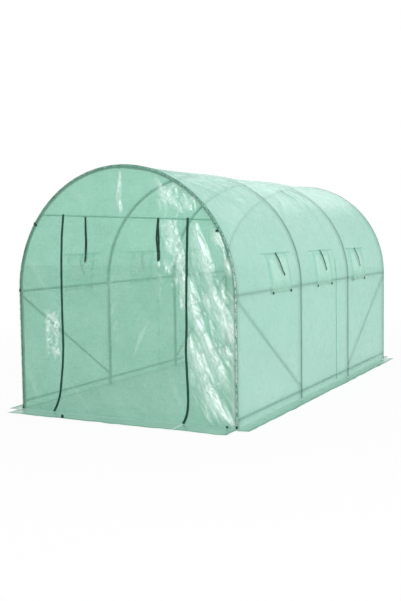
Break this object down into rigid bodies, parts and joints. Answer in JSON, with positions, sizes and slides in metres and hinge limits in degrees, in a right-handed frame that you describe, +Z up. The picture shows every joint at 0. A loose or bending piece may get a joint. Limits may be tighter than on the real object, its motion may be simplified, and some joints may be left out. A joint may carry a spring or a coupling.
{
  "type": "polytunnel greenhouse",
  "caption": "Round-topped walk-in tunnel greenhouse: a tube frame under a translucent green film cover, with a zipped front door, side window flaps and a ground flap all round.",
  "frame": {"origin": "on the ground, at the middle of the footprint", "axes": "+X to the right of someone facing the door from outside, +Y from the door end to the rear, +Z up; the door end faces -Y"},
  "size_m": [2.2206, 4.4046, 2.0021],
  "materials": {
    "frame_tube": "satin powder coat over steel tube",
    "cover_film": "translucent woven film with a fine square grid, slightly glossy",
    "window_net": "fine open net",
    "zip_and_strap": "dark green woven tape, matt"
  },
  "bodies": {
    "root": {"hoop_1_arch": "frame_tube", "hoop_2_arch": "frame_tube", "hoop_3_arch": "frame_tube", "hoop_4_arch": "frame_tube", "hoop_1_legs": "frame_tube", "hoop_2_legs": "frame_tube", "hoop_3_legs": "frame_tube", "hoop_4_legs": "frame_tube", "ridge_pole": "frame_tube", "side_rail_left": "frame_tube", "side_rail_right": "frame_tube", "base_rail_left": "frame_tube", "base_rail_right": "frame_tube", "brace_front_left": "frame_tube", "brace_front_right": "frame_tube", "brace_rear_left": "frame_tube", "brace_rear_right": "frame_tube", "roof_cover": "cover_film", "wall_cover_left": "cover_film", "wall_cover_right": "cover_film", "rear_wall": "cover_film", "front_wall_top": "cover_film", "front_wall_left": "cover_film", "front_wall_right": "cover_film", "door_panel": "cover_film", "door_zip_left": "zip_and_strap", "door_zip_right": "zip_and_strap", "door_strap_left": "zip_and_strap", "door_strap_right": "zip_and_strap", "ground_flap_left": "cover_film", "ground_flap_right": "cover_film", "ground_flap_rear": "cover_film", "ground_flap_front_left": "cover_film", "ground_flap_front_right": "cover_film", "ground_flap_door": "cover_film", "window_flap_left_1": "cover_film", "window_flap_left_2": "cover_film", "window_flap_left_3": "cover_film", "window_flap_right_1": "cover_film", "window_flap_right_2": "cover_film", "window_flap_right_3": "cover_film", "window_nets": "window_net", "window_straps": "zip_and_strap"}
  },
  "joints": []
}
